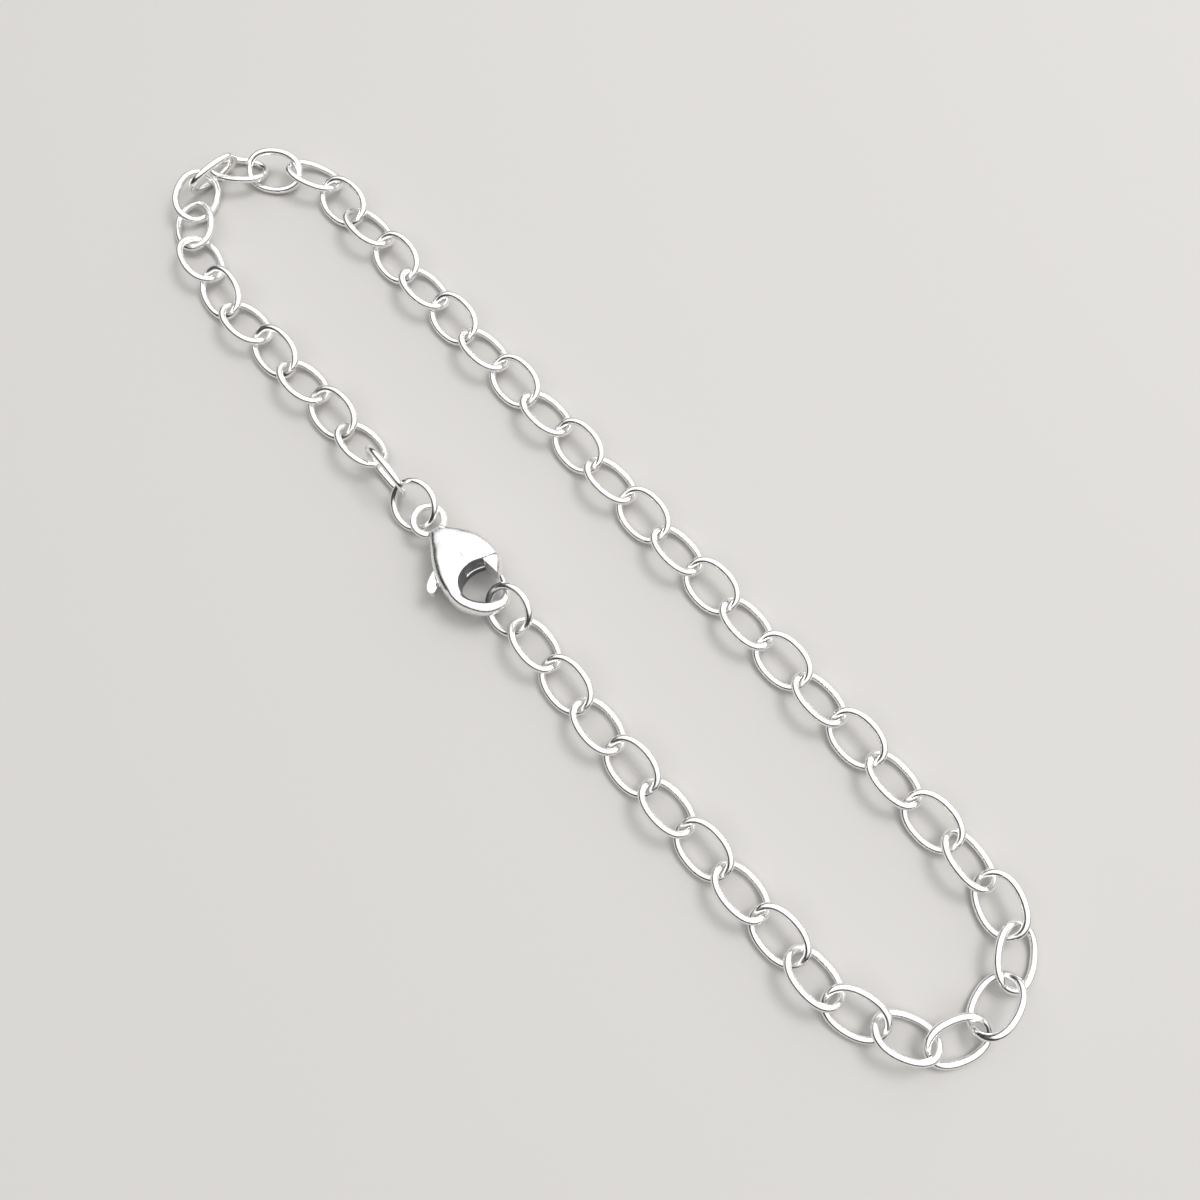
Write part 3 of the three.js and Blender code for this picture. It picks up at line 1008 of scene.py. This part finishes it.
class BRACELET_OT_clasp_lever(bpy.types.Operator):
    """Shape the lever: hub, gate and thumb tab in one piece, on its own body"""

    bl_idname = "bracelet.clasp_lever"
    bl_label = "Clasp lever"

    def execute(self, context):
        shape = context.scene.bracelet_clasp
        plate = (shape.slot_low + PLATE_GAP, shape.slot_high - PLATE_GAP)
        tab = (shape.slot_low + THUMB_GAP, shape.slot_high - THUMB_GAP)
        gate = combine(pear("gate"), "INTERSECT", prism("gate_outline", GATE, *GATE_HEIGHT))
        lever = disc("clasp_gate_lever", *RIVET_AT, LEVER_HUB, *plate)
        combine(
            lever, "UNION",
            prism("gate_root", GATE_ROOT, *plate),
            prism("thumb_root", THUMB_ROOT, *plate),
            prism("thumb_tab", through(THUMB_TAB, TAB_STEPS), *tab),
            gate,
        )
        combine(lever, "DIFFERENCE", disc("lever_hole", *RIVET_AT, LEVER_HOLE, *RIGHT_THROUGH))
        soften(lever, shape.grain * LEVER_FINENESS, shape.softening)
        # Painted shade: the lever round the rivet is marked to be darkened, for the shade in the slot.
        mark_rough_painted_shade(lever.data, RIVET_AT, LEVER_REACH, steep_only=False)
        lever.data.transform(clasp_place(shape))
        lever.data.materials.clear()
        finish = silver(
            "Lever silver", patch=3.0, toning=0.25, scratch_depth=0.0012, ripple=0.002, dulling=0.07,
        )
        lever.data.materials.append(finish)
        settle(lever, "lever", ["clasp_lever"])
        return {"FINISHED"}


class BRACELET_OT_clasp_rivet(bpy.types.Operator):
    """Turn the rivet: a pin with a low peened dome at each end"""

    bl_idname = "bracelet.clasp_rivet"
    bl_label = "Clasp rivet"

    def execute(self, context):
        shape = context.scene.bracelet_clasp
        low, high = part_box("clasp_rivet")
        radius = (high.x - low.x) / 2 / MM + PIN_WIDER
        foot, top = low.z / MM, high.z / MM + PIN_PROUD
        dome = np.linspace(0, math.pi / 2, DOME_STEPS)
        profile = [(radius * math.sin(a), top - HEAD_DOME * (1 - math.cos(a))) for a in dome]
        profile += [(radius * math.sin(a), foot + FOOT_DOME * (1 - math.cos(a))) for a in dome[::-1]]
        rivet = lathed("clasp_pin", *RIVET_AT, profile)
        rivet.data.transform(clasp_place(shape))
        rivet.data.shade_smooth()
        finish = silver("Pin silver", patch=1.5, toning=0.5, scratch_depth=0.0015, dulling=0.08)
        rivet.data.materials.append(finish)
        settle(rivet, "bracelet", ["clasp_rivet"])
        return {"FINISHED"}


# --------------------------------------------------------------------------------------------
# Stage
# --------------------------------------------------------------------------------------------


def softbox(name, place, sides, power):
    """A soft rectangular light that faces the origin."""
    light = bpy.data.lights.new(name, "AREA")
    light.shape = "RECTANGLE"
    light.size, light.size_y = sides
    light.energy = power
    made = bpy.data.objects.new(name, light)
    made.location = place
    made.rotation_euler = (-Vector(place)).to_track_quat("-Z", "Y").to_euler()
    bpy.context.scene.collection.objects.link(made)
    return made


def light_tent(stage):
    """A bright soft dome that leans to the far side, over a dim band round the horizon."""
    world = bpy.data.worlds.new("Light tent")
    world.use_nodes = True
    tree = world.node_tree
    towards = add_node(tree, "ShaderNodeTexCoord").outputs["Generated"]
    lean = add_node(
        tree, "ShaderNodeVectorMath", {0: towards, 1: TENT_LEAN}, operation="DOT_PRODUCT",
    )
    bright = add_node(
        tree, "ShaderNodeMapRange",
        {
            "Value": lean.outputs["Value"], "From Min": TENT_FADE[0], "From Max": TENT_FADE[1],
            "To Min": stage.dim, "To Max": stage.dome,
        },
        interpolation_type="SMOOTHSTEP",
    )
    seen = add_node(tree, "ShaderNodeLightPath").outputs["Is Camera Ray"]
    strength = add_node(
        tree, "ShaderNodeMix", {"Factor": seen, "A": bright.outputs[0], "B": stage.backdrop},
        data_type="FLOAT",
    )
    background = tree.nodes["Background"]
    background.inputs["Color"].default_value = TENT_COLOUR
    tree.links.new(strength.outputs[0], background.inputs["Strength"])
    return world


class BRACELET_OT_stage(bpy.types.Operator):
    """Set the plain floor, the soft lights and the camera"""

    bl_idname = "bracelet.stage"
    bl_label = "Stage"

    def execute(self, context):
        scene = context.scene
        stage = scene.bracelet_stage

        finish = bpy.data.materials.new("Plain floor")
        finish.use_nodes = True
        tree = finish.node_tree
        shader = tree.nodes["Principled BSDF"]
        shader.inputs["Roughness"].default_value = 0.75
        shader.inputs["Base Color"].default_value = (*stage.floor_colour, 1.0)
        floor = solid("floor", [(x, y, 0.0) for x, y in square(FLOOR_HALF)], [(0, 1, 2, 3)])
        floor.location.z = -FLOOR_DROP
        floor.data.materials.append(finish)

        softbox("key softbox", KEY_PLACE, KEY_SIZE, stage.key_power)
        scene.world = light_tent(stage)
        scene.view_settings.view_transform = "Standard"

        lens = bpy.data.cameras.new("camera")
        lens.sensor_width = SENSOR_MM
        lens.angle = stage.view_angle
        lens.clip_start = CAMERA_NEAREST
        back = Vector((
            math.sin(stage.azimuth) * math.cos(stage.elevation),
            -math.cos(stage.azimuth) * math.cos(stage.elevation),
            math.sin(stage.elevation),
        ))
        camera = bpy.data.objects.new("camera", lens)
        camera.location = Vector(stage.look_at) + back * stage.distance
        camera.rotation_euler = (-back).to_track_quat("-Z", "Y").to_euler()
        scene.collection.objects.link(camera)
        scene.camera = camera
        return {"FINISHED"}


class BRACELET_PT_panel(bpy.types.Panel):
    bl_label = "Silver chain bracelet"
    bl_idname = "BRACELET_PT_panel"
    bl_space_type = "VIEW_3D"
    bl_region_type = "UI"
    bl_category = "Bracelet"

    def draw(self, context):
        column = self.layout.column()
        for operator in OPERATORS:
            column.operator(operator.bl_idname)
        for name in ("bracelet_wire", "bracelet_clasp", "bracelet_silver", "bracelet_stage"):
            settings = getattr(context.scene, name)
            box = self.layout.box()
            for key in settings.__annotations__:
                box.prop(settings, key)


OPERATORS = (
    BRACELET_OT_links,
    BRACELET_OT_jump_rings,
    BRACELET_OT_clasp_body,
    BRACELET_OT_clasp_lever,
    BRACELET_OT_clasp_rivet,
    BRACELET_OT_stage,
)
SETTINGS = {
    "bracelet_wire": BraceletWire,
    "bracelet_clasp": ClaspShape,
    "bracelet_silver": SilverFinish,
    "bracelet_stage": StudioStage,
}


def register():
    for item in (*SETTINGS.values(), *OPERATORS, BRACELET_PT_panel):
        bpy.utils.register_class(item)
    for name, group in SETTINGS.items():
        setattr(bpy.types.Scene, name, PointerProperty(type=group))


def unregister():
    for name in SETTINGS:
        delattr(bpy.types.Scene, name)
    for item in reversed((*SETTINGS.values(), *OPERATORS, BRACELET_PT_panel)):
        bpy.utils.unregister_class(item)


def main():
    register()
    bpy.ops.bracelet.links()
    bpy.ops.bracelet.jump_rings()
    bpy.ops.bracelet.clasp_body()
    bpy.ops.bracelet.clasp_lever()
    bpy.ops.bracelet.clasp_rivet()
    bpy.ops.bracelet.stage()


if __name__ == "__main__":
    main()
